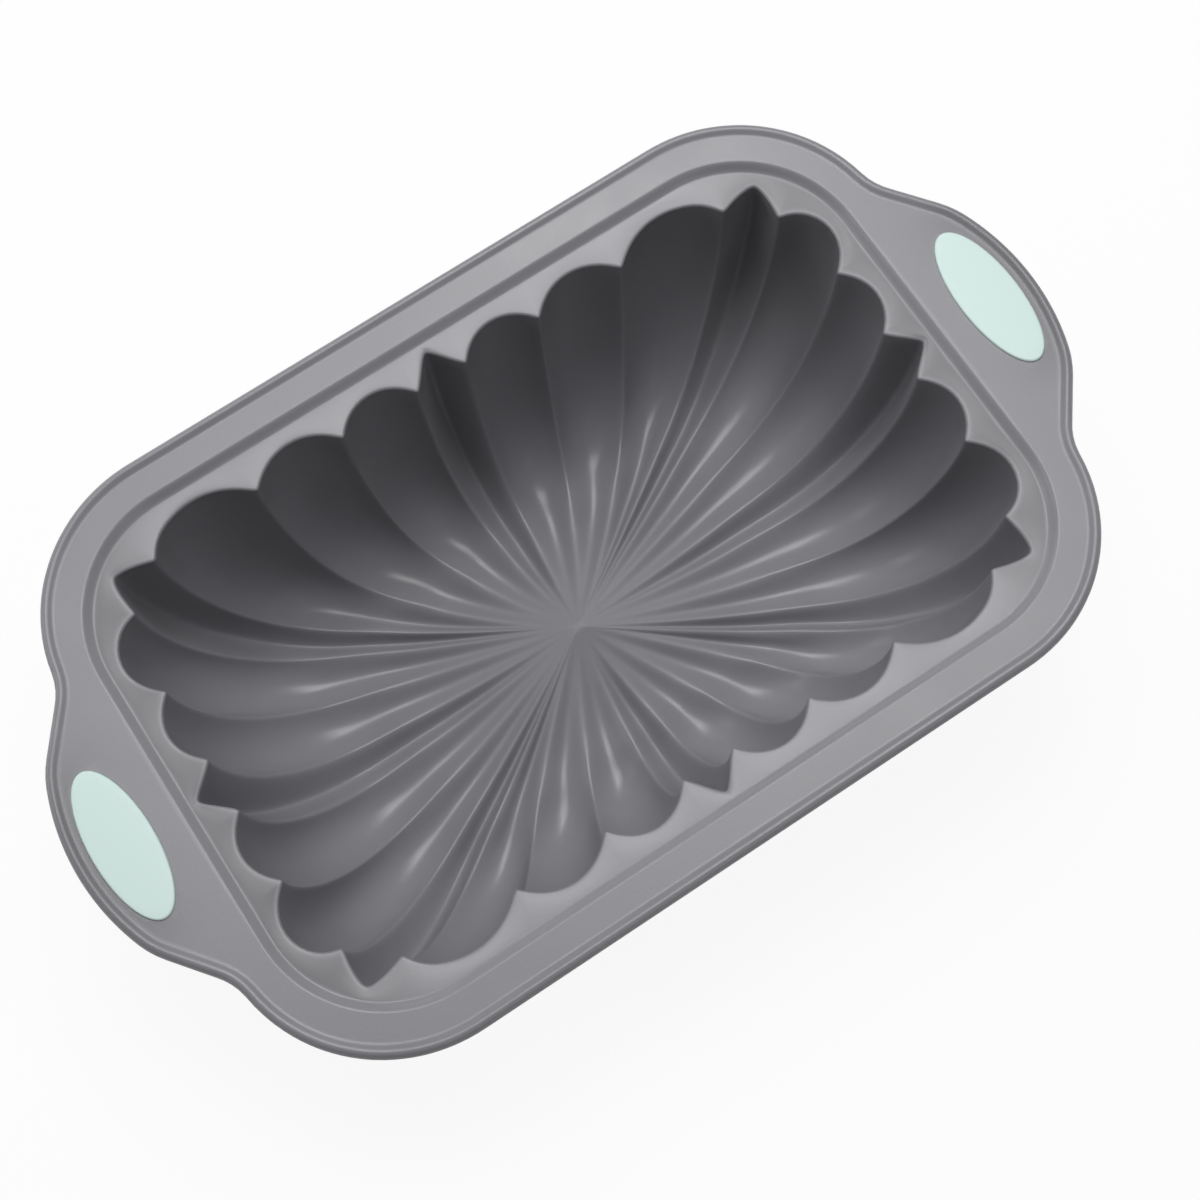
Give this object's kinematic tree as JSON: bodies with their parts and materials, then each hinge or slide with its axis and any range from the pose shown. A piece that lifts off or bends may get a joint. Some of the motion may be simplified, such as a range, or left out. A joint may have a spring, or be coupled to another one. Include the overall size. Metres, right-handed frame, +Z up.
{
  "type": "fluted silicone loaf pan",
  "caption": "Fluted silicone loaf pan with a raised floor, steel-stiffened rim and a handle with a soft grip inlay at each end.",
  "frame": {"origin": "centre of the pan's plan, on the plane that it stands on", "axes": "+X along the pan's length through both handles, +Y across its width, +Z up out of the open cavity"},
  "size_m": [0.315, 0.188, 0.0781],
  "materials": {
    "grey_silicone": "satin mid-grey silicone",
    "mint_silicone": "satin pale mint silicone",
    "stainless_steel": "plain rolled stainless strip"
  },
  "bodies": {
    "root": {"pan_body": "grey_silicone", "rim_frame": "stainless_steel", "grip_left": "mint_silicone", "grip_right": "mint_silicone"}
  },
  "joints": []
}
